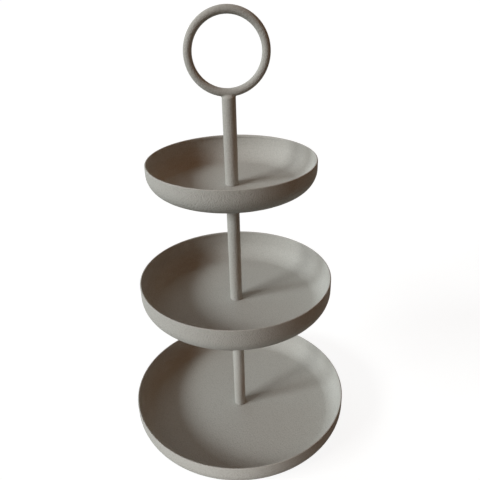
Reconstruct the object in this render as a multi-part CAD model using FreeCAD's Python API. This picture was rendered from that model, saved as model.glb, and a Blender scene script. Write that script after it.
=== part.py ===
"""Tiered tray stand: three round dished trays on a tube stem, with a ring to carry it by.

The stem comes apart at every tray. Each tube has a threaded plug in its ends, and a stud between two
plugs clamps the tray that lies between the tubes. A screw from below holds the lowest tray, and the
ring is welded into the saddle of the cap that closes the top tube.

Frame: millimetres, +Z up, origin on the table under the stem. The ring lies in the XZ plane.
"""

import FreeCAD
import Part

import math
import os

from FreeCAD import Vector

# Trays: pressed steel dishes with a flat floor and an upright wall, measured over the coat. The sheet's
# edge is folded back flat against the wall inside, as a hem
lower_tray_diameter = 300.0
lower_tray_height = 36.0
middle_tray_diameter = 250.0
middle_tray_height = 40.0
upper_tray_diameter = 204.0
upper_tray_height = 34.0
tray_wall = 1.2
tray_corner_radius = 24.0
tray_hem_proud = 1.0
tray_hem_height = 3.5
tray_hem_edge_round = 0.2

# Stem: three lengths of the same round tube, each as long as it shows between two trays
stem_diameter = 16.0
stem_wall = 1.5
stem_edge_round = 0.5
lower_stem_length = 187.3
middle_stem_length = 162.8
upper_stem_length = 104.3

# Ring handle: round bar bent to a closed ring, and the domed cap that it is welded into
ring_outer_diameter = 95.0
ring_bar_diameter = 9.5
ring_above_stem = 0.4
cap_dome_height = 4.0
cap_plug_length = 12.0

# Threaded joints: one thread size for the studs, the plugs and the base screw
thread_diameter = 6.0
thread_engagement = 10.0
thread_chamfer = 0.7
plug_length = 14.0
plug_bore_chamfer = 0.8

# Base screw with a flat head and a hexagon socket, and the wide washer under it
screw_head_diameter = 13.0
screw_head_height = 2.2
screw_head_round = 0.8
socket_across_flats = 4.0
socket_depth = 1.5
washer_diameter = 18.0
washer_thickness = 1.6

# Rubber feet: tapered discs stuck to the underside of the lowest tray
foot_count = 4
foot_circle_diameter = 210.0
foot_top_diameter = 16.0
foot_taper = 1.2
foot_edge_round = 1.0

# Clearances, each on the radius, apart from the one between the screw and the table
plug_clearance = 0.03
thread_clearance = 0.05
tray_hole_clearance = 0.25
washer_clearance = 0.2
screw_table_clearance = 0.7

# Sizes that follow from those above
stem_radius = stem_diameter / 2
stem_bore_radius = stem_radius - stem_wall
thread_radius = thread_diameter / 2
thread_bore_radius = thread_radius + thread_clearance
plug_radius = stem_bore_radius - plug_clearance
tray_hole_radius = thread_radius + tray_hole_clearance
ring_bar_radius = ring_bar_diameter / 2
ring_middle_radius = ring_outer_diameter / 2 - ring_bar_radius
foot_height = washer_thickness + screw_head_height + screw_table_clearance

# Tiers from the table up: name, tray diameter, tray height, and length of the stem above the tray
TIERS = [
    ("lower", lower_tray_diameter, lower_tray_height, lower_stem_length),
    ("middle", middle_tray_diameter, middle_tray_height, middle_stem_length),
    ("upper", upper_tray_diameter, upper_tray_height, upper_stem_length),
]

UP = Vector(0, 0, 1)
FORWARD = Vector(0, 1, 0)
AXIS_FOOT = Vector(0, 0, 0)


def at(radius, height):
    """A point of a turned outline, in the XZ plane."""
    return Vector(radius, 0, height)


def line(start, end):
    return Part.LineSegment(start, end).toShape()


def corner(start, centre, end):
    """A round stretch of an outline about a centre, less than a half circle."""
    radius = start.distanceToPoint(centre)
    outwards = ((start + end) / 2 - centre).normalize()
    return Part.Arc(start, centre + outwards * radius, end).toShape()


def turned(edges, height):
    """The solid that a closed outline sweeps about the stem's axis, lifted to a height."""
    solid = Part.Face(Part.Wire(edges)).revolve(AXIS_FOOT, UP, 360)
    solid.translate(UP * height)
    return solid


def polygon_outline(points):
    """Straight edges round a list of points, closed."""
    return [line(a, b) for a, b in zip(points, points[1:] + points[:1])]


def tray(diameter, height, underside):
    """A dish: flat floor, round corner, upright wall and a hemmed rim, with a hole for the stud."""
    outside = diameter / 2
    inside = outside - tray_wall
    flat = outside - tray_corner_radius
    bend = at(flat, tray_corner_radius)
    # the hem: a round fold at the top, and the sheet's rounded edge below
    hem = inside - tray_hem_proud
    fold = (outside - hem) / 2
    rim = height - fold
    hem_foot = height - tray_hem_height
    edge = tray_hem_edge_round
    edges = [
        line(at(tray_hole_radius, 0), at(flat, 0)),
        corner(at(flat, 0), bend, at(outside, tray_corner_radius)),
        line(at(outside, tray_corner_radius), at(outside, rim)),
        Part.Arc(at(outside, rim), at(outside - fold, height), at(hem, rim)).toShape(),
        line(at(hem, rim), at(hem, hem_foot + edge)),
        corner(at(hem, hem_foot + edge), at(hem + edge, hem_foot + edge), at(hem + edge, hem_foot)),
        line(at(hem + edge, hem_foot), at(inside, hem_foot)),
        line(at(inside, hem_foot), at(inside, tray_corner_radius)),
        corner(at(inside, tray_corner_radius), bend, at(flat, tray_wall)),
        # the stem's seat is a face of its own, so the face around it is the floor that things lie on
        line(at(flat, tray_wall), at(stem_radius, tray_wall)),
        line(at(stem_radius, tray_wall), at(tray_hole_radius, tray_wall)),
        line(at(tray_hole_radius, tray_wall), at(tray_hole_radius, 0)),
    ]
    return turned(edges, underside)


def stem_tube(length, foot, capped):
    """A tube whose outer edges are rounded by deburring and the coat, apart from a capped head."""
    edge = stem_edge_round
    face = stem_radius - edge
    edges = [
        line(at(stem_bore_radius, 0), at(face, 0)),
        corner(at(face, 0), at(face, edge), at(stem_radius, edge)),
    ]
    if capped:
        # the cap is welded on and dressed flush, so this end stays square
        edges += [
            line(at(stem_radius, edge), at(stem_radius, length)),
            line(at(stem_radius, length), at(stem_bore_radius, length)),
        ]
    else:
        edges += [
            line(at(stem_radius, edge), at(stem_radius, length - edge)),
            corner(at(stem_radius, length - edge), at(face, length - edge), at(face, length)),
            line(at(face, length), at(stem_bore_radius, length)),
        ]
    edges.append(line(at(stem_bore_radius, length), at(stem_bore_radius, 0)))
    return turned(edges, foot)


def threaded_plug(foot):
    """A bush pressed into the end of a tube, tapped through, with both mouths chamfered."""
    mouth = thread_bore_radius + plug_bore_chamfer
    outline = [
        at(mouth, 0),
        at(plug_radius, 0),
        at(plug_radius, plug_length),
        at(mouth, plug_length),
        at(thread_bore_radius, plug_length - plug_bore_chamfer),
        at(thread_bore_radius, plug_bore_chamfer),
    ]
    return turned(polygon_outline(outline), foot)


def joint_stud(tray_underside):
    """A threaded stud through a tray, screwed into the plug below it and the plug above it."""
    length = tray_wall + 2 * thread_engagement
    end = thread_radius - thread_chamfer
    outline = [
        at(0, 0),
        at(end, 0),
        at(thread_radius, thread_chamfer),
        at(thread_radius, length - thread_chamfer),
        at(end, length),
        at(0, length),
    ]
    return turned(polygon_outline(outline), tray_underside - thread_engagement)


def hexagon_prism(across_flats, depth):
    """The space of a hexagon key, standing on the origin."""
    radius = across_flats / math.sqrt(3)
    sixth = math.radians(60)
    points = [Vector(radius * math.cos(n * sixth), radius * math.sin(n * sixth), 0) for n in range(6)]
    return Part.Face(Part.Wire(polygon_outline(points))).extrude(UP * depth)


def base_screw(tray_underside):
    """The screw that holds the lowest tray: a flat round head below the washer, and a socket in it."""
    head = screw_head_diameter / 2
    edge = screw_head_round
    tip = screw_head_height + washer_thickness + tray_wall + thread_engagement
    end = thread_radius - thread_chamfer
    edges = [
        line(at(0, 0), at(head - edge, 0)),
        corner(at(head - edge, 0), at(head - edge, edge), at(head, edge)),
        line(at(head, edge), at(head, screw_head_height)),
        line(at(head, screw_head_height), at(thread_radius, screw_head_height)),
        line(at(thread_radius, screw_head_height), at(thread_radius, tip - thread_chamfer)),
        line(at(thread_radius, tip - thread_chamfer), at(end, tip)),
        line(at(end, tip), at(0, tip)),
        line(at(0, tip), at(0, 0)),
    ]
    screw = turned(edges, 0).cut(hexagon_prism(socket_across_flats, socket_depth))
    screw.translate(UP * (tray_underside - washer_thickness - screw_head_height))
    return screw


def base_washer(tray_underside):
    """A wide flat washer that spreads the screw's pull over the tray."""
    hole = thread_radius + washer_clearance
    rim = washer_diameter / 2
    outline = [at(hole, 0), at(rim, 0), at(rim, washer_thickness), at(hole, washer_thickness)]
    return turned(polygon_outline(outline), tray_underside - washer_thickness)


def rubber_foot(number):
    """One foot: narrower at the table, with a rounded lower edge, standing on the foot circle."""
    top = foot_top_diameter / 2
    bottom = top - foot_taper
    edge = foot_edge_round
    edges = [
        line(at(0, 0), at(bottom - edge, 0)),
        corner(at(bottom - edge, 0), at(bottom - edge, edge), at(bottom, edge)),
        line(at(bottom, edge), at(top, foot_height)),
        line(at(top, foot_height), at(0, foot_height)),
        line(at(0, foot_height), at(0, 0)),
    ]
    foot = turned(edges, 0)
    # the feet stand between the ring's plane and the plane square to it
    angle = 2 * math.pi * (number + 0.5) / foot_count
    reach = foot_circle_diameter / 2
    foot.translate(Vector(reach * math.cos(angle), reach * math.sin(angle), 0))
    return foot


def ring_handle(centre_height):
    """A closed ring of round bar, facing the front."""
    return Part.makeTorus(ring_middle_radius, ring_bar_radius, UP * centre_height, FORWARD)


def stem_cap(stem_top, ring):
    """The plug that closes the top tube: a domed head with a saddle that the ring lies in."""
    apex = at(0, cap_dome_height)
    # a dome of this height over the tube's outside is part of one sphere
    dome_radius = (stem_radius**2 + cap_dome_height**2) / (2 * cap_dome_height)
    edges = [
        line(at(0, -cap_plug_length), at(plug_radius, -cap_plug_length)),
        line(at(plug_radius, -cap_plug_length), at(plug_radius, 0)),
        line(at(plug_radius, 0), at(stem_radius, 0)),
        corner(at(stem_radius, 0), at(0, cap_dome_height - dome_radius), apex),
        line(apex, at(0, -cap_plug_length)),
    ]
    return turned(edges, stem_top).cut(ring)


def build():
    """Every piece of the stand by name, stacked from the table up."""
    pieces = {}
    underside = foot_height
    for number in range(foot_count):
        pieces[f"rubber_foot_{number + 1}"] = rubber_foot(number)
    pieces["base_screw"] = base_screw(underside)
    pieces["base_washer"] = base_washer(underside)
    for tier, diameter, height, stem_length in TIERS:
        floor = underside + tray_wall
        stem_top = floor + stem_length
        pieces[f"{tier}_tray"] = tray(diameter, height, underside)
        topmost = tier == TIERS[-1][0]
        pieces[f"{tier}_stem"] = stem_tube(stem_length, floor, topmost)
        pieces[f"{tier}_stem_foot_plug"] = threaded_plug(floor)
        if tier != TIERS[0][0]:
            pieces[f"{tier}_tray_stud"] = joint_stud(underside)
        if not topmost:
            pieces[f"{tier}_stem_head_plug"] = threaded_plug(stem_top - plug_length)
        underside = stem_top
    ring = ring_handle(stem_top + ring_above_stem + ring_outer_diameter / 2)
    pieces["ring_handle"] = ring
    pieces["upper_stem_cap"] = stem_cap(stem_top, ring)
    return pieces


def main():
    os.makedirs("parts", exist_ok=True)
    pieces = build()
    for name, shape in pieces.items():
        shape.exportStep(os.path.join("parts", f"{name}.step"))
    whole = Part.makeCompound(list(pieces.values())).optimalBoundingBox(False)
    print(f"{len(pieces)} pieces, {whole.XLength:.1f} x {whole.YLength:.1f} x {whole.ZLength:.1f} mm")


if __name__ == "__main__":
    main()
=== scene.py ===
"""Tiered tray stand: dished trays on a tube stem, with a ring to carry it by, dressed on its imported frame.

Every piece is turned, bent or threaded in metres, in the frame's own place, from the sizes of the node
that it stands for. The looks are a sand-textured powder coat, zinc-plated fixings and rubber feet.
"""

import math

import bmesh
import bpy
from bpy.props import FloatProperty, FloatVectorProperty, IntProperty, PointerProperty
from mathutils import Matrix, Vector


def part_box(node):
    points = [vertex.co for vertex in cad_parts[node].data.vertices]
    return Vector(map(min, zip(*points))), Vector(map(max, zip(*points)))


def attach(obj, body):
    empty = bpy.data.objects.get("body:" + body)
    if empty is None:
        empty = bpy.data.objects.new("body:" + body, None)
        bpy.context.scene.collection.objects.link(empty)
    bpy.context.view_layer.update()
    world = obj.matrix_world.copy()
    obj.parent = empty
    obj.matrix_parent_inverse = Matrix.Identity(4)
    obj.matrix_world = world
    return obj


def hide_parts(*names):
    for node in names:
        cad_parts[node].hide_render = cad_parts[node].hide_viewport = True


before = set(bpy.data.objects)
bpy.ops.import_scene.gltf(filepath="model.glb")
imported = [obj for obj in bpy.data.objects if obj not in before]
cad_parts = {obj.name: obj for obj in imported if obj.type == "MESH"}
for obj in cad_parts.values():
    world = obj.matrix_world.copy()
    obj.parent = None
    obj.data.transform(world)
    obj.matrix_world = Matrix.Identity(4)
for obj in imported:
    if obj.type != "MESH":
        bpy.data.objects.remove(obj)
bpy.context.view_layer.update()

bl_info = {
    "name": "Tiered Tray Stand",
    "version": (1, 0, 0),
    "blender": (4, 5, 0),
    "location": "View3D > Sidebar > Tray Stand",
    "description": "Builds a three-tier tray stand with a ring handle, and a stage to show it on",
    "category": "Add Mesh",
}

MM = 0.001
BODY = "root"
TIERS = ("lower", "middle", "upper")
TOP_TIER = TIERS[-1]
GRAIN_LOST = "grain_lost"

# facets round a tube, a screw and a washer, then round a plug and a stud, then round a foot
ROUND_SEGMENTS = 96
THREAD_SEGMENTS = 48
FOOT_SEGMENTS = 64
# steps of a quarter round: in a tray's corner, a rim or screw head, a tube's end, a foot and a thin edge
CORNER_STEPS = 24
RIM_STEPS = 8
TUBE_STEPS = 5
FOOT_STEPS = 6
EDGE_STEPS = 4
# rows of points in one turn of a thread
ROWS_PER_TURN = 10
# points whose distances from the axis differ by less than this lie on one wall
SAME_REACH = 0.01 * MM
# an edge that bends by more than this stays sharp
SHARP_BEND = math.radians(35)

# parts of the pitch that a 60 degree thread loses at its flat crest, and that it is deep
CREST_SHARE = 0.108
DEPTH_SHARE = 0.613


def srgb(code):
    """A colour written as sRGB hex, in linear numbers."""
    parts = [int(code[n:n + 2], 16) / 255 for n in (1, 3, 5)]
    return tuple(p / 12.92 if p <= 0.04045 else ((p + 0.055) / 1.055) ** 2.4 for p in parts)


# lamps: the source's angle from +X, its height and its width in degrees, its colour and its strength
LAMPS = {
    "window_front_pane": (211, 24, 14, srgb("#F7FEFF"), 1.45),
    "window_side_pane": (196, 26, 14, srgb("#F1FBFF"), 1.61),
    "back_window": (130, 30, 70, srgb("#C8EEFF"), 0.64),
    "far_wall": (80, 35, 90, srgb("#E4FAF2"), 0.33),
}
# light that a pale table sends back from close in front: its middle, width, height, colour and watts
TABLE_GLOW = ((-0.10, -0.30, 0.031), 0.30, 0.06, srgb("#FDFEFF"), 0.130)


class StandSizes(bpy.types.PropertyGroup):
    """Sizes that the frame's boxes don't tell."""

    tray_segments: IntProperty(name="Tray segments", description="Facets round a tray", default=288, min=48)
    hem_proud: FloatProperty(
        name="Hem", description="How far a tray's folded edge stands proud of its wall inside",
        default=1 * MM, unit="LENGTH")
    hem_height: FloatProperty(
        name="Hem height", description="From the rim down to the end of the folded edge", default=3.5 * MM,
        unit="LENGTH")
    hem_edge: FloatProperty(
        name="Hem edge", description="Rounding at the end of the folded edge", default=0.2 * MM,
        unit="LENGTH")
    stem_edge: FloatProperty(
        name="Stem edge", description="Rounding at the end of a tube", default=0.5 * MM, unit="LENGTH")
    dome_height: FloatProperty(
        name="Cap dome", description="Height of the cap over the end of the top tube", default=4 * MM,
        unit="LENGTH")
    shoulder_round: FloatProperty(
        name="Cap shoulder", description="Rounding between the top tube and the dome", default=2 * MM,
        unit="LENGTH")
    weld_radius: FloatProperty(
        name="Weld", description="Hollow radius of the weld between ring and cap", default=1.5 * MM,
        unit="LENGTH")
    weld_root: FloatProperty(
        name="Weld root", description="How deep the weld reaches into ring and cap", default=0.3 * MM,
        unit="LENGTH")
    thread_pitch: FloatProperty(
        name="Thread pitch", description="Rise of one turn of the thread", default=1 * MM, unit="LENGTH")
    thread_end: FloatProperty(
        name="Thread end", description="Chamfer at the end of a thread", default=0.7 * MM, unit="LENGTH")
    plug_mouth: FloatProperty(
        name="Plug mouth", description="Chamfer at a plug's bore", default=0.8 * MM, unit="LENGTH")
    plug_lead: FloatProperty(
        name="Plug lead", description="Chamfer that leads a plug into its tube", default=0.3 * MM,
        unit="LENGTH")
    head_height: FloatProperty(
        name="Screw head", description="Height of the base screw's head", default=2.2 * MM, unit="LENGTH")
    head_edge: FloatProperty(
        name="Head edge", description="Rounding of the screw's head", default=0.8 * MM, unit="LENGTH")
    socket_width: FloatProperty(
        name="Socket width", description="Hexagon socket across its flats", default=4 * MM, unit="LENGTH")
    socket_depth: FloatProperty(
        name="Socket depth", description="Depth of the hexagon socket", default=1.5 * MM, unit="LENGTH")
    washer_edge: FloatProperty(
        name="Washer edge", description="Rounding left by stamping", default=0.25 * MM, unit="LENGTH")
    foot_taper: FloatProperty(
        name="Foot taper", description="How much less a foot's radius is at the table", default=1.2 * MM,
        unit="LENGTH")
    foot_edge: FloatProperty(
        name="Foot edge", description="Rounding of a foot's lower edge", default=1 * MM, unit="LENGTH")


class StandFinish(bpy.types.PropertyGroup):
    """Colours and grain of the coat, the plating and the rubber."""

    # painted light: the grains' tops are painted this lighter grey, which the clouds also use as real tone
    coat_lit_grain_and_cloud: FloatVectorProperty(
        name="Coat, light", description="Warm grey of the coat's grains", subtype="COLOR",
        default=srgb("#BAB7B1"))
    # painted shade: the gaps between grains are painted this darker grey, which the clouds also use as real
    # tone
    coat_shaded_gap_and_cloud: FloatVectorProperty(
        name="Coat, dark", description="Warm grey between the grains", subtype="COLOR",
        default=srgb("#ACA9A3"))
    grain: FloatProperty(
        name="Grain", description="Spacing of the coat's grains", default=1.5 * MM, unit="LENGTH")
    grain_height: FloatProperty(
        name="Grain height", description="Height of the grains", default=0.46 * MM, unit="LENGTH")
    inner_share: FloatProperty(
        name="Inner grain", description="Height of the grains inside a tray, as a part of that outside",
        default=0.5, subtype="FACTOR")
    thin_share: FloatProperty(
        name="Thin grain",
        description="Height of the grains on stem, cap and ring, as a part of that outside a tray",
        default=0.8, subtype="FACTOR")
    cloud: FloatProperty(
        name="Cloud", description="Spacing of the coat's faint clouds", default=45 * MM, unit="LENGTH")
    cloud_share: FloatProperty(
        name="Cloud share", description="Part of the coat's tone that the clouds make", default=0.15,
        subtype="FACTOR")
    zinc: FloatVectorProperty(
        name="Zinc", description="Bright zinc plate", subtype="COLOR", default=srgb("#C3C7C9"))
    turning_mark: FloatProperty(
        name="Turning mark", description="Spacing of the lathe's marks", default=0.2 * MM, unit="LENGTH")
    turning_depth: FloatProperty(
        name="Turning depth", description="Depth of the lathe's marks", default=0.01 * MM, unit="LENGTH")
    zinc_spot: FloatProperty(
        name="Zinc spot", description="Spacing of dull spots in the zinc", default=1.5 * MM,
        unit="LENGTH")
    rubber: FloatVectorProperty(
        name="Rubber", description="Moulded rubber of the feet", subtype="COLOR", default=srgb("#35332F"))
    rubber_bloom: FloatVectorProperty(
        name="Rubber bloom", description="Dull bloom on the rubber", subtype="COLOR",
        default=srgb("#454340"))
    bloom: FloatProperty(
        name="Bloom", description="Spacing of the bloom's patches", default=6 * MM, unit="LENGTH")
    spark: FloatProperty(
        name="Spark", description="Spacing of the mould's spark texture", default=0.4 * MM, unit="LENGTH")
    spark_depth: FloatProperty(
        name="Spark depth", description="Depth of the mould's spark texture", default=0.04 * MM,
        unit="LENGTH")


class StandStage(bpy.types.PropertyGroup):
    """Where the camera stands, and the floor and room around the stand."""

    camera_distance: FloatProperty(
        name="Distance", description="From the stem's axis to the camera, over the floor", default=0.59219,
        unit="LENGTH")
    camera_height: FloatProperty(
        name="Height", description="Camera above the floor", default=0.58662, unit="LENGTH")
    camera_azimuth: FloatProperty(
        name="Azimuth", description="Camera to the left of straight in front", default=math.radians(1.73),
        subtype="ANGLE")
    camera_pan: FloatProperty(
        name="Pan", description="Aim to the right of the stem", default=math.radians(0.72), subtype="ANGLE")
    camera_pitch: FloatProperty(
        name="Pitch", description="Aim below the horizon", default=math.radians(27.23), subtype="ANGLE")
    camera_roll: FloatProperty(
        name="Roll", description="Camera turned clockwise", default=math.radians(1.86), subtype="ANGLE")
    camera_lens: FloatProperty(
        name="Lens", description="Focal length on a 36 mm sensor, in millimetres", default=39.02)
    room_colour: FloatVectorProperty(
        name="Room light", description="Warm light that the room sends back", subtype="COLOR",
        default=srgb("#6A4010"))
    floor_colour: FloatVectorProperty(
        name="Floor", description="Grey of the floor, as it lights the stand", subtype="COLOR",
        default=srgb("#777D7A"))
    shadow_share: FloatProperty(
        name="Shadow", description="Part of the white floor's light that a shadow takes", default=0.2,
        subtype="FACTOR")
    floor_size: FloatProperty(
        name="Floor size", description="Half the width of the floor", default=30.0, unit="LENGTH")


def node_reach(node):
    """Least and greatest distance of a node's points from the stem's axis."""
    reaches = [math.hypot(v.co.x, v.co.y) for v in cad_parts[node].data.vertices]
    return min(reaches), max(reaches)


def wall_start(node):
    """Height over its underside at which a tray reaches its full width."""
    points = [v.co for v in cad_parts[node].data.vertices]
    widest = max(math.hypot(p.x, p.y) for p in points)
    on_wall = [p.z for p in points if math.hypot(p.x, p.y) > widest - SAME_REACH]
    return min(on_wall) - min(p.z for p in points)


def arc(centre, radius, start, end, steps):
    """Points of a round stretch of an outline, as (radius, height), between two angles in degrees."""
    turns = [math.radians(start + (end - start) * n / steps) for n in range(steps + 1)]
    return [(centre[0] + radius * math.cos(t), centre[1] + radius * math.sin(t)) for t in turns]


def spread(low, high, step):
    """Evenly spaced values from low to high, no further apart than a step."""
    count = math.ceil((high - low) / step)
    return [low + (high - low) * n / count for n in range(count + 1)]


def turned(name, outline, segments, closed=False, centre=(0, 0)):
    """A piece swept round an upright axis. A radius in its outline may be a function of the angle."""
    rows = []
    for radius, height in outline:
        row = []
        for n in range(segments):
            angle = 2 * math.pi * n / segments
            reach = radius(angle) if callable(radius) else radius
            row.append((centre[0] + reach * math.cos(angle), centre[1] + reach * math.sin(angle), height))
        rows.append(row)
    return skinned(name, rows, closed)


def skinned(name, rows, closed):
    """A piece through rows of points. Its last row is joined to its first, or both of them are filled."""
    count = len(rows[0])
    numbers = [list(range(n * count, (n + 1) * count)) for n in range(len(rows))]
    faces = bands(numbers, closed)
    if not closed:
        faces += [numbers[0], numbers[-1]]
    return finished(name, [point for row in rows for point in row], faces)


def bands(rows, closed):
    """Quads between neighbouring closed rows of points, and from the last row to the first if closed."""
    faces = []
    for here, there in zip(rows, rows[1:] + rows[:1] if closed else rows[1:]):
        for n in range(len(here)):
            faces.append((here[n - 1], here[n], there[n], there[n - 1]))
    return faces


def finished(name, verts, faces):
    """A linked object with outward faces."""
    mesh = bpy.data.meshes.new(name)
    mesh.from_pydata(verts, [], faces)
    work = bmesh.new()
    work.from_mesh(mesh)
    bmesh.ops.recalc_face_normals(work, faces=work.faces)
    work.to_mesh(mesh)
    work.free()
    soften(mesh)
    piece = bpy.data.objects.new(name, mesh)
    bpy.context.scene.collection.objects.link(piece)
    return piece


def soften(mesh):
    """Smooth shading, apart from sharp edges."""
    mesh.shade_smooth()
    mesh.set_sharp_from_angle(angle=SHARP_BEND)


def lower_grain(piece, shares):
    """Gives each row of a piece's points the part of the grains' full height that its coat has there."""
    around = len(piece.data.vertices) // len(shares)
    layer = piece.data.attributes.new(GRAIN_LOST, "FLOAT", "POINT")
    layer.data.foreach_set("value", [1 - share for share in shares for n in range(around)])


def placed(piece, material, slot, *nodes):
    """Gives a piece its finish and its body, and hides the nodes that it stands for."""
    piece.data.materials.append(material)
    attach(piece, BODY)
    if nodes:
        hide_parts(*nodes)


def add_node(tree, kind, settings=None, inputs=None):
    """A shader node with its settings, and its inputs set or linked."""
    node = tree.nodes.new(kind)
    for name, value in (settings or {}).items():
        setattr(node, name, value)
    for name, value in (inputs or {}).items():
        if isinstance(value, bpy.types.NodeSocket):
            tree.links.new(value, node.inputs[name])
        else:
            node.inputs[name].default_value = value
    return node


def material_of(build, look):
    """The material that a function builds, made once and kept under the function's name."""
    name = build.__name__
    material = bpy.data.materials.get(name)
    if material is None:
        material = bpy.data.materials.new(name)
        material.use_nodes = True
        tree = material.node_tree
        tree.nodes.clear()
        add_node(tree, "ShaderNodeOutputMaterial", inputs={"Surface": build(tree, look)})
    return material


def sand_textured_powder_coat(tree, finish):
    """Polyester powder with a sand texturing agent, sprayed and baked.

    It gives the eye a dead matt warm grey with fine grains that catch light from the side, faint clouds
    where the powder lay thicker, and a smoother face inside the trays. Light and shade are also painted
    into its colour: each grain's top is painted lighter and the gap round it is painted darker.
    """
    place = add_node(tree, "ShaderNodeTexCoord").outputs["Object"]
    # real grains are about a millimetre apart, and are drawn coarser so that they show in a picture
    gaps = add_node(tree, "ShaderNodeTexVoronoi", inputs={
        "Vector": place, "Scale": 1 / finish.grain}).outputs["Distance"]
    grain = add_node(tree, "ShaderNodeMath", {"operation": "SUBTRACT"}, {0: 1.0, 1: gaps}).outputs[0]
    cloud = add_node(tree, "ShaderNodeTexNoise", inputs={
        "Vector": place, "Scale": 1 / finish.cloud, "Detail": 2.0, "Roughness": 0.5}).outputs["Fac"]
    # the grains' relief is painted into the colour as well, tops as painted light and gaps as painted shade,
    # while the clouds are the coat's real tone
    tone = add_node(tree, "ShaderNodeMix", {"data_type": "FLOAT"}, {
        0: finish.cloud_share, 2: grain, 3: cloud}).outputs[0]
    # nearly all of that tone lies in this range, which is stretched from the painted-shade grey of the gaps
    # to the painted-lit grey of the grain tops
    share = add_node(tree, "ShaderNodeMapRange", inputs={
        "Value": tone, "From Min": 0.25, "From Max": 0.85}).outputs["Result"]
    # the coat's colour holds the grains' painted light and shade and the clouds' real tone
    colour = add_node(tree, "ShaderNodeMix", {"data_type": "RGBA"}, {
        "Factor": share, 6: (*finish.coat_shaded_gap_and_cloud, 1), 7: (*finish.coat_lit_grain_and_cloud, 1)}).outputs[2]
    # less powder lands inside a tray and on a thin tube or bar, where the grains stay lower
    lost = add_node(tree, "ShaderNodeAttribute", {"attribute_name": GRAIN_LOST}).outputs["Fac"]
    height = add_node(tree, "ShaderNodeMapRange", inputs={
        "Value": lost, "To Min": finish.grain_height, "To Max": 0.0}).outputs["Result"]
    relief = add_node(tree, "ShaderNodeBump", inputs={
        "Height": grain, "Distance": height, "Strength": 1.0}).outputs["Normal"]
    return add_node(tree, "ShaderNodeBsdfPrincipled", inputs={
        "Base Color": colour, "Normal": relief, "Roughness": 0.92, "IOR": 1.5,
        "Specular IOR Level": 0.2}).outputs["BSDF"]


def zinc_plated_steel(tree, finish):
    """Turned mild steel with bright zinc plate.

    It gives the eye a cool grey metal with a soft shine, broken by the lathe's fine marks and dull spots.
    """
    place = add_node(tree, "ShaderNodeTexCoord").outputs["Object"]
    # a wave texture's bands are a twentieth of its unit apart
    marks = add_node(tree, "ShaderNodeTexWave", {"bands_direction": "Z"}, {
        "Vector": place, "Scale": 1 / (20 * finish.turning_mark), "Distortion": 1.5,
        "Detail": 1.0}).outputs["Fac"]
    spots = add_node(tree, "ShaderNodeTexNoise", inputs={
        "Vector": place, "Scale": 1 / finish.zinc_spot, "Detail": 3.0}).outputs["Fac"]
    rough = add_node(tree, "ShaderNodeMapRange", inputs={
        "Value": spots, "To Min": 0.24, "To Max": 0.48}).outputs["Result"]
    relief = add_node(tree, "ShaderNodeBump", inputs={
        "Height": marks, "Distance": finish.turning_depth, "Strength": 0.6}).outputs["Normal"]
    return add_node(tree, "ShaderNodeBsdfPrincipled", inputs={
        "Base Color": (*finish.zinc, 1), "Metallic": 1.0, "Roughness": rough,
        "Normal": relief}).outputs["BSDF"]


def moulded_rubber(tree, finish):
    """Compression-moulded rubber, filled black.

    It gives the eye a dull dark grey with a faint bloom and the fine spark texture of its mould.
    """
    place = add_node(tree, "ShaderNodeTexCoord").outputs["Object"]
    spark = add_node(tree, "ShaderNodeTexNoise", inputs={
        "Vector": place, "Scale": 1 / finish.spark, "Detail": 2.0}).outputs["Fac"]
    bloom = add_node(tree, "ShaderNodeTexNoise", inputs={
        "Vector": place, "Scale": 1 / finish.bloom, "Detail": 2.0}).outputs["Fac"]
    colour = add_node(tree, "ShaderNodeMix", {"data_type": "RGBA"}, {
        "Factor": bloom, 6: (*finish.rubber, 1), 7: (*finish.rubber_bloom, 1)}).outputs[2]
    relief = add_node(tree, "ShaderNodeBump", inputs={
        "Height": spark, "Distance": finish.spark_depth, "Strength": 0.8}).outputs["Normal"]
    return add_node(tree, "ShaderNodeBsdfPrincipled", inputs={
        "Base Color": colour, "Normal": relief, "Roughness": 0.78, "IOR": 1.52}).outputs["BSDF"]


def matt_white_floor(tree, stage):
    """White paper to the eye, which keeps a faint shadow, and a grey floor to the stand's own light."""
    shadow = stage.shadow_share
    paper = add_node(tree, "ShaderNodeBsdfDiffuse", inputs={"Color": (shadow, shadow, shadow, 1)})
    glow = add_node(tree, "ShaderNodeEmission", inputs={"Strength": 1 - shadow / 2})
    seen = add_node(tree, "ShaderNodeAddShader", inputs={0: paper.outputs[0], 1: glow.outputs[0]})
    plain = add_node(tree, "ShaderNodeBsdfDiffuse", inputs={"Color": (*stage.floor_colour, 1)})
    return add_node(tree, "ShaderNodeMixShader", inputs={
        0: seen_rays(tree), 1: plain.outputs[0], 2: seen.outputs[0]}).outputs[0]


def seen_rays(tree):
    """One for what the eye sees, straight or in a mirror or glass, and nought for other light."""
    path = add_node(tree, "ShaderNodeLightPath").outputs
    straight = add_node(tree, "ShaderNodeMath", {"operation": "MAXIMUM"}, {
        0: path["Is Camera Ray"], 1: path["Is Glossy Ray"]}).outputs[0]
    return add_node(tree, "ShaderNodeMath", {"operation": "MAXIMUM"}, {
        0: straight, 1: path["Is Transmission Ray"]}).outputs[0]


def thread_depth(angle, height, pitch):
    """How far a 60 degree thread lies under its crest, by the place on the screw."""
    rise = (height / pitch - angle / (2 * math.pi)) % 1
    flank = abs(2 * rise - 1) * math.sqrt(3) / 2
    return pitch * min(max(flank - CREST_SHARE, 0), DEPTH_SHARE)


def thread_rows(low, high, crest, sizes, cut):
    """Outline of a thread from low to high. The cut gives the end's radius limit by height."""
    rows = []
    for height in spread(low, high, sizes.thread_pitch / ROWS_PER_TURN):
        def reach(angle, z=height):
            return cut(crest - thread_depth(angle, z, sizes.thread_pitch), z)
        rows.append((reach, height))
    return rows


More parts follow.
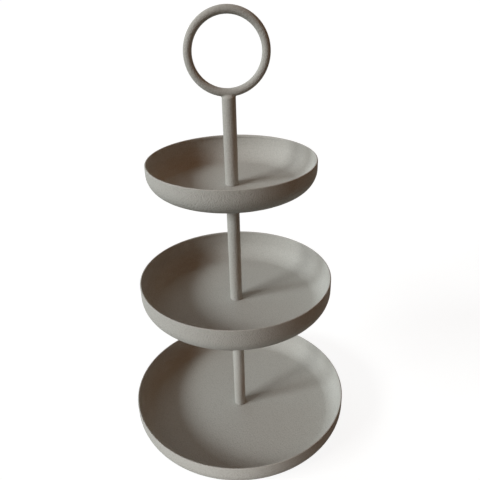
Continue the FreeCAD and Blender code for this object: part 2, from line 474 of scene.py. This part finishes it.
def cap_skin(sizes):
    """Outline of the stem's capped end: gives the point whose normal has a given lift, in radians."""
    edge = node_reach(f"{TOP_TIER}_stem")[1]
    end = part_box(f"{TOP_TIER}_stem")[1].z
    bend = sizes.shoulder_round
    # a dome of this height over the tube is part of one sphere, and the shoulder's round touches both
    dome = (edge**2 + sizes.dome_height**2) / (2 * sizes.dome_height)
    middle = end + sizes.dome_height - dome
    inner = edge - bend
    shoulder = middle + math.sqrt((dome - bend) ** 2 - inner**2)
    change = math.atan2(shoulder - middle, inner)

    def skin(lift):
        if lift < change:
            return inner + bend * math.cos(lift), shoulder + bend * math.sin(lift)
        return dome * math.cos(lift), middle + dome * math.sin(lift)

    return skin


class STAND_OT_trays(bpy.types.Operator):
    """Build the dished trays: flat floor, round corner, upright wall and a hemmed rim"""

    bl_idname = "stand.trays"
    bl_label = "Trays"

    def execute(self, context):
        sizes = context.scene.stand_sizes
        finish = context.scene.stand_finish
        coat = material_of(sand_textured_powder_coat, finish)
        for tier in TIERS:
            node = f"{tier}_tray"
            low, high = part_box(node)
            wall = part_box(f"{tier}_stem")[0].z - low.z
            corner = wall_start(node)
            hole, reach = node_reach(node)
            bend = (reach - corner, low.z + corner)
            hem = reach - wall - sizes.hem_proud
            fold = (reach - hem) / 2
            rim = (reach - fold, high.z - fold)
            foot = high.z - sizes.hem_height
            edge = sizes.hem_edge
            outer = [(hole, low.z)]
            outer += arc(bend, corner, -90, 0, CORNER_STEPS)
            outer += arc(rim, fold, 0, 90, RIM_STEPS)
            inner = arc(rim, fold, 90, 180, RIM_STEPS)[1:]
            inner += arc((hem + edge, foot + edge), edge, 180, 270, EDGE_STEPS)
            inner.append((reach - wall, foot))
            inner += arc(bend, corner - wall, 0, -90, CORNER_STEPS)
            inner.append((hole, low.z + wall))
            piece = turned(f"{tier}_tray_coated", outer + inner, sizes.tray_segments, closed=True)
            lower_grain(piece, [1.0] * len(outer) + [finish.inner_share] * len(inner))
            placed(piece, coat, "sand_coat", node)
        return {"FINISHED"}


class STAND_OT_stems(bpy.types.Operator):
    """Build the lengths of stem tube with their rounded ends"""

    bl_idname = "stand.stems"
    bl_label = "Stem tubes"

    def execute(self, context):
        sizes = context.scene.stand_sizes
        finish = context.scene.stand_finish
        coat = material_of(sand_textured_powder_coat, finish)
        edge = sizes.stem_edge
        for tier in TIERS:
            node = f"{tier}_stem"
            low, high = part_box(node)
            bore, outside = node_reach(node)
            outline = [(bore, low.z)]
            outline += arc((outside - edge, low.z + edge), edge, -90, 0, TUBE_STEPS)
            if tier == TOP_TIER:
                # the cap's round begins at this end, flush and coated over
                end = cap_skin(sizes)(0)[1]
                outline.append((outside, end))
            else:
                end = high.z
                outline += arc((outside - edge, end - edge), edge, 0, 90, TUBE_STEPS)
            outline.append((bore, end))
            piece = turned(f"{tier}_stem_coated", outline, ROUND_SEGMENTS, closed=True)
            lower_grain(piece, [finish.thin_share])
            placed(piece, coat, "sand_coat", node)
        return {"FINISHED"}


class STAND_OT_ring(bpy.types.Operator):
    """Build the ring, the domed cap with its saddle, and the hollow weld between them"""

    bl_idname = "stand.ring"
    bl_label = "Ring, cap and weld"

    # a climb counts bar radii below the cap's shoulder, and radians over the shoulder and the dome
    LOWEST_CLIMB = -1.0
    HIGHEST_CLIMB = math.pi / 2
    CLIMB_ERROR = 1e-7

    def execute(self, context):
        sizes = context.scene.stand_sizes
        finish = context.scene.stand_finish
        coat = material_of(sand_textured_powder_coat, finish)
        low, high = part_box("ring_handle")
        self.bar = (high.y - low.y) / 2
        self.middle = (high.x - low.x) / 2 - self.bar
        self.centre = (low.z + high.z) / 2
        ring = self.bent_ring()
        cap = self.saddled_cap(sizes)
        weld = self.hollow_weld(sizes)
        for piece in (ring, cap, weld):
            lower_grain(piece, [finish.thin_share])
        placed(ring, coat, "sand_coat", "ring_handle")
        placed(cap, coat, "sand_coat", f"{TOP_TIER}_stem_cap")
        placed(weld, coat, "sand_coat")
        return {"FINISHED"}

    def nearest_core(self, point):
        """The nearest point on the middle line of the ring's bar."""
        aim = Vector((point.x, 0, point.z - self.centre)).normalized() * self.middle
        return aim + Vector((0, 0, self.centre))

    def bent_ring(self, turns=192, sides=48):
        """Round bar bent to a closed ring, which stands upright in the plane of X and Z."""
        rings = []
        for n in range(turns):
            turn = 2 * math.pi * n / turns
            outward = Vector((math.cos(turn), 0, math.sin(turn)))
            core = Vector((0, 0, self.centre)) + outward * self.middle
            angles = [2 * math.pi * s / sides for s in range(sides)]
            rings.append([core + (outward * math.cos(a) + Vector((0, 1, 0)) * math.sin(a)) * self.bar
                          for a in angles])
        return skinned("ring_handle_coated", rings, closed=True)

    def ball_on_cap(self, skin, out, radius, climb):
        """Middle of a ball on the cap and the way to it, up the tube's side and then over the shoulder."""
        lift = max(climb, 0)
        reach, height = skin(lift)
        way = out * math.cos(lift) + Vector((0, 0, math.sin(lift)))
        foot = out * reach + Vector((0, 0, height + min(climb, 0) * self.bar))
        return foot + way * radius, way

    def climb_to_ring(self, skin, out, radius):
        """How far a ball climbs from well under the ring until it touches the bar."""
        below, above = self.LOWEST_CLIMB, self.HIGHEST_CLIMB
        while above - below > self.CLIMB_ERROR:
            climb = (below + above) / 2
            ball = self.ball_on_cap(skin, out, radius, climb)[0]
            touching = (ball - self.nearest_core(ball)).length < self.bar + radius
            below, above = (below, climb) if touching else (climb, above)
        return below

    def under_ring(self, x, y):
        """The point of the ring's underside at a place."""
        deep = self.middle + math.sqrt(self.bar**2 - y**2)
        return Vector((x, y, self.centre - math.sqrt(deep**2 - x**2)))

    def saddled_cap(self, sizes, turns=96, steps=12):
        """The plug in the tube, the shoulder and the dome, with a saddle in which the ring lies."""
        skin = cap_skin(sizes)
        plug = node_reach(f"{TOP_TIER}_stem_foot_plug")[1]
        columns = []
        for n in range(turns):
            turn = 2 * math.pi * n / turns
            out = Vector((math.cos(turn), math.sin(turn), 0))
            heights = (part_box(f"{TOP_TIER}_stem_cap")[0].z, skin(0)[1])
            column = [out * plug + Vector((0, 0, height)) for height in heights]
            stop = self.climb_to_ring(skin, out, 0)
            column += [self.ball_on_cap(skin, out, 0, stop * s / steps)[0] for s in range(steps + 1)]
            edge = column[-1]
            shares = [s / steps for s in range(steps - 1, 0, -1)]
            column += [self.under_ring(edge.x * share, edge.y * share) for share in shares]
            columns.append(column)
        return skinned(f"{TOP_TIER}_stem_cap_coated", list(zip(*columns)), closed=False)

    def hollow_weld(self, sizes, turns=120, steps=8):
        """The fillet that a ball leaves as it rolls round between the cap and the ring."""
        skin = cap_skin(sizes)
        radius = sizes.weld_radius
        deep = radius + sizes.weld_root
        rings = []
        for n in range(turns):
            turn = 2 * math.pi * n / turns
            out = Vector((math.cos(turn), math.sin(turn), 0))
            ball, way = self.ball_on_cap(skin, out, radius, self.climb_to_ring(skin, out, radius))
            to_bar = (self.nearest_core(ball) - ball).normalized()
            to_cap = -way
            section = [ball + to_cap.slerp(to_bar, s / steps) * radius for s in range(steps + 1)]
            # the hidden side of the weld lies in the bar and the cap, and meets in the nook between them
            nook = (to_cap + to_bar).normalized() / math.cos(to_cap.angle(to_bar) / 2)
            section += [ball + aim * deep for aim in (to_bar, nook, to_cap)]
            rings.append(section)
        return skinned("ring_weld_coated", rings, closed=True)


class STAND_OT_fixings(bpy.types.Operator):
    """Build the threaded plugs and studs, the base screw and its washer"""

    bl_idname = "stand.fixings"
    bl_label = "Plugs, studs, screw and washer"

    def execute(self, context):
        sizes = context.scene.stand_sizes
        zinc = material_of(zinc_plated_steel, context.scene.stand_finish)
        builders = {"plug": self.plug, "stud": self.stud, "screw": self.screw, "washer": self.washer}
        for node in sorted(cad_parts):
            build = builders.get(node.split("_")[-1])
            if build:
                placed(build(node, sizes), zinc, "zinc_steel", node)
        return {"FINISHED"}

    def plug(self, node, sizes):
        """A bush with a chamfered lead and a tapped bore."""
        low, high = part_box(node)
        bore, outside = node_reach(node)
        lead = sizes.plug_lead

        def mouth(reach, z):
            return max(reach, bore + sizes.plug_mouth - min(z - low.z, high.z - z))

        outline = [(outside - lead, low.z), (outside, low.z + lead)]
        outline += [(outside, high.z - lead), (outside - lead, high.z)]
        outline += reversed(thread_rows(low.z, high.z, bore, sizes, mouth))
        return turned(f"{node}_plated", outline, THREAD_SEGMENTS, closed=True)

    def stud(self, node, sizes):
        """A length of screwed rod with both ends chamfered."""
        low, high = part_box(node)
        crest = node_reach(node)[1]

        def end(reach, z):
            return min(reach, crest - sizes.thread_end + min(z - low.z, high.z - z))

        outline = thread_rows(low.z, high.z, crest, sizes, end)
        return turned(f"{node}_plated", outline, THREAD_SEGMENTS)

    def screw(self, node, sizes):
        """A round head with a hexagon socket below, and a threaded shank above."""
        low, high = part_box(node)
        head = node_reach(node)[1]
        crest = node_reach(f"{TOP_TIER}_tray_stud")[1]
        edge = sizes.head_edge
        neck = low.z + sizes.head_height

        def socket(angle):
            return sizes.socket_width / 2 / math.cos(angle % math.radians(60) - math.radians(30))

        def tip(reach, z):
            return min(reach, crest - sizes.thread_end + high.z - z)

        # a smaller round row lets the socket's floor be filled without thin slivers along its flats
        middle_row = sizes.socket_width / 4
        bottom = low.z + sizes.socket_depth
        outline = [(middle_row, bottom), (socket, bottom), (socket, low.z)]
        outline += arc((head - edge, low.z + edge), edge, -90, 0, RIM_STEPS)
        outline.append((head, neck))
        outline += thread_rows(neck, high.z, crest, sizes, tip)
        return turned(f"{node}_plated", outline, ROUND_SEGMENTS)

    def washer(self, node, sizes):
        """A stamped disc with a hole and rounded edges."""
        low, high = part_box(node)
        hole, outside = node_reach(node)
        edge = sizes.washer_edge
        corners = ((outside - edge, low.z + edge, -90), (outside - edge, high.z - edge, 0),
                   (hole + edge, high.z - edge, 90), (hole + edge, low.z + edge, 180))
        outline = []
        for reach, height, start in corners:
            outline += arc((reach, height), edge, start, start + 90, EDGE_STEPS)
        return turned(f"{node}_plated", outline, ROUND_SEGMENTS, closed=True)


class STAND_OT_feet(bpy.types.Operator):
    """Build the tapered rubber feet"""

    bl_idname = "stand.feet"
    bl_label = "Feet"

    def execute(self, context):
        sizes = context.scene.stand_sizes
        rubber = material_of(moulded_rubber, context.scene.stand_finish)
        edge = sizes.foot_edge
        for node in sorted(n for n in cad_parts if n.startswith("rubber_foot")):
            low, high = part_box(node)
            top = (high.x - low.x) / 2
            bottom = top - sizes.foot_taper
            outline = arc((bottom - edge, low.z + edge), edge, -90, 0, FOOT_STEPS)
            outline.append((top, high.z))
            centre = ((low.x + high.x) / 2, (low.y + high.y) / 2)
            piece = turned(f"{node}_moulded", outline, FOOT_SEGMENTS, centre=centre)
            placed(piece, rubber, "foot_rubber", node)
        return {"FINISHED"}


class STAND_OT_stage(bpy.types.Operator):
    """Build the floor, the lamps, the table's glow, the room's light and the camera"""

    bl_idname = "stand.stage"
    bl_label = "Stage"

    def execute(self, context):
        scene = context.scene
        stage = scene.stand_stage
        scene.view_settings.view_transform = "Standard"
        self.floor(stage)
        for name, lamp in LAMPS.items():
            self.lamp(scene, name, *lamp)
        self.table_glow(scene, *TABLE_GLOW)
        self.room(scene, stage)
        self.camera(scene, stage)
        return {"FINISHED"}

    def floor(self, stage):
        """A wide level floor under the feet."""
        half = stage.floor_size
        corners = [(-half, -half, 0), (half, -half, 0), (half, half, 0), (-half, half, 0)]
        floor = finished("floor", corners, [(0, 1, 2, 3)])
        floor.data.materials.append(material_of(matt_white_floor, stage))

    def lamp(self, scene, name, azimuth, height, width, colour, strength):
        """A far lamp as wide as a window or wall looks, so that its shadows are soft."""
        sun = bpy.data.lights.new(name, "SUN")
        sun.angle = math.radians(width)
        sun.color = colour
        sun.energy = strength
        lamp = bpy.data.objects.new(name, sun)
        turn, climb = math.radians(azimuth), math.radians(height)
        level = math.cos(climb)
        source = Vector((math.cos(turn) * level, math.sin(turn) * level, math.sin(climb)))
        lamp.rotation_euler = source.to_track_quat("Z", "Y").to_euler()
        scene.collection.objects.link(lamp)

    def table_glow(self, scene, middle, width, height, colour, power):
        """An upright lamp that faces the stand, low down, and isn't seen itself."""
        area = bpy.data.lights.new("table_glow", "AREA")
        area.shape = "RECTANGLE"
        area.size = width
        area.size_y = height
        area.color = colour
        area.energy = power
        lamp = bpy.data.objects.new("table_glow", area)
        lamp.matrix_world = Matrix.Translation(middle) @ Matrix.Rotation(math.pi / 2, 4, "X")
        lamp.visible_camera = False
        scene.collection.objects.link(lamp)

    def room(self, scene, stage):
        """Warm light from all round, behind a white backdrop."""
        world = bpy.data.worlds.new("room")
        world.use_nodes = True
        tree = world.node_tree
        tree.nodes.clear()
        warm = add_node(tree, "ShaderNodeBackground", inputs={"Color": (*stage.room_colour, 1)})
        white = add_node(tree, "ShaderNodeBackground", inputs={"Color": (1, 1, 1, 1)})
        mixed = add_node(tree, "ShaderNodeMixShader", inputs={
            0: seen_rays(tree), 1: warm.outputs[0], 2: white.outputs[0]})
        add_node(tree, "ShaderNodeOutputWorld", inputs={"Surface": mixed.outputs[0]})
        scene.world = world

    def camera(self, scene, stage):
        """A camera in front of the stand and above it, which looks down on the trays."""
        lens = bpy.data.cameras.new("camera")
        lens.lens = stage.camera_lens
        camera = bpy.data.objects.new("camera", lens)
        scene.collection.objects.link(camera)
        away = stage.camera_azimuth
        stand = Vector((-math.sin(away), -math.cos(away), 0)) * stage.camera_distance
        stand.z = stage.camera_height
        camera.matrix_world = (
            Matrix.Translation(stand)
            @ Matrix.Rotation(-away - stage.camera_pan, 4, "Z")
            @ Matrix.Rotation(math.pi / 2 - stage.camera_pitch, 4, "X")
            @ Matrix.Rotation(-stage.camera_roll, 4, "Z")
        )
        scene.camera = camera


class STAND_PT_panel(bpy.types.Panel):
    """The stand's pieces and stage in the order that they are built, and their sizes and colours"""

    bl_idname = "STAND_PT_panel"
    bl_label = "Tray Stand"
    bl_space_type = "VIEW_3D"
    bl_region_type = "UI"
    bl_category = "Tray Stand"

    def draw(self, context):
        for operator in OPERATORS:
            self.layout.operator(operator.bl_idname)
        for name, kind in GROUPS.items():
            box = self.layout.box()
            for prop in kind.__annotations__:
                box.prop(getattr(context.scene, name), prop)


GROUPS = {"stand_sizes": StandSizes, "stand_finish": StandFinish, "stand_stage": StandStage}
OPERATORS = (STAND_OT_trays, STAND_OT_stems, STAND_OT_ring, STAND_OT_fixings, STAND_OT_feet, STAND_OT_stage)


def register():
    for cls in (*GROUPS.values(), *OPERATORS, STAND_PT_panel):
        bpy.utils.register_class(cls)
    for name, kind in GROUPS.items():
        setattr(bpy.types.Scene, name, PointerProperty(type=kind))


def unregister():
    for name in GROUPS:
        delattr(bpy.types.Scene, name)
    for cls in reversed((*GROUPS.values(), *OPERATORS, STAND_PT_panel)):
        bpy.utils.unregister_class(cls)


def main():
    register()
    bpy.ops.stand.trays()
    bpy.ops.stand.stems()
    bpy.ops.stand.ring()
    bpy.ops.stand.fixings()
    bpy.ops.stand.feet()
    bpy.ops.stand.stage()


if __name__ == "__main__":
    main()
